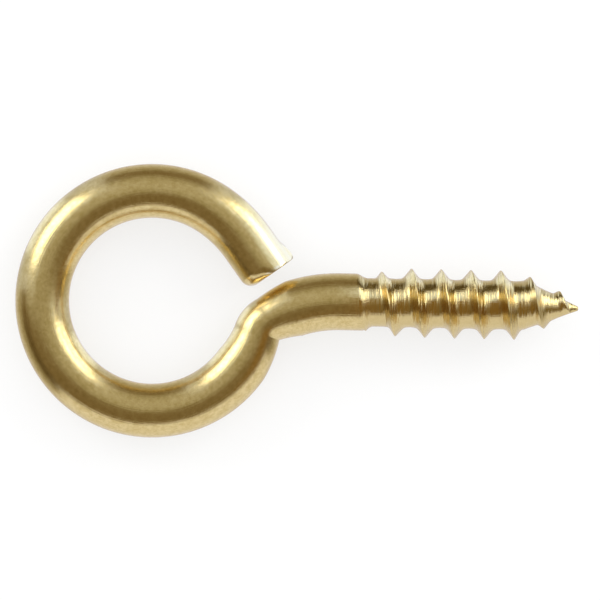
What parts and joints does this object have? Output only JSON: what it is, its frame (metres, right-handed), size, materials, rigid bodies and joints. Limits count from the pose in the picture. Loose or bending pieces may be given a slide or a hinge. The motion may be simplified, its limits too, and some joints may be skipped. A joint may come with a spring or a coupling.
{
  "type": "screw eye",
  "caption": "Brass screw eye: round wire bent into a nearly closed ring, with a short straight shank cut as a wood screw down to a sharp point.",
  "frame": {"origin": "centre of the eye, in the middle of the wire's thickness", "axes": "+X along the screw from the eye towards the point; +Y towards the side of the eye where the free end is; +Z through the eye, upwards as the part lies flat"},
  "size_m": [0.0349, 0.017, 0.0044],
  "materials": {
    "brass_wire": "bright drawn and tumbled, with fine draw marks"
  },
  "bodies": {
    "root": {"screw_eye": "brass_wire"}
  },
  "joints": []
}
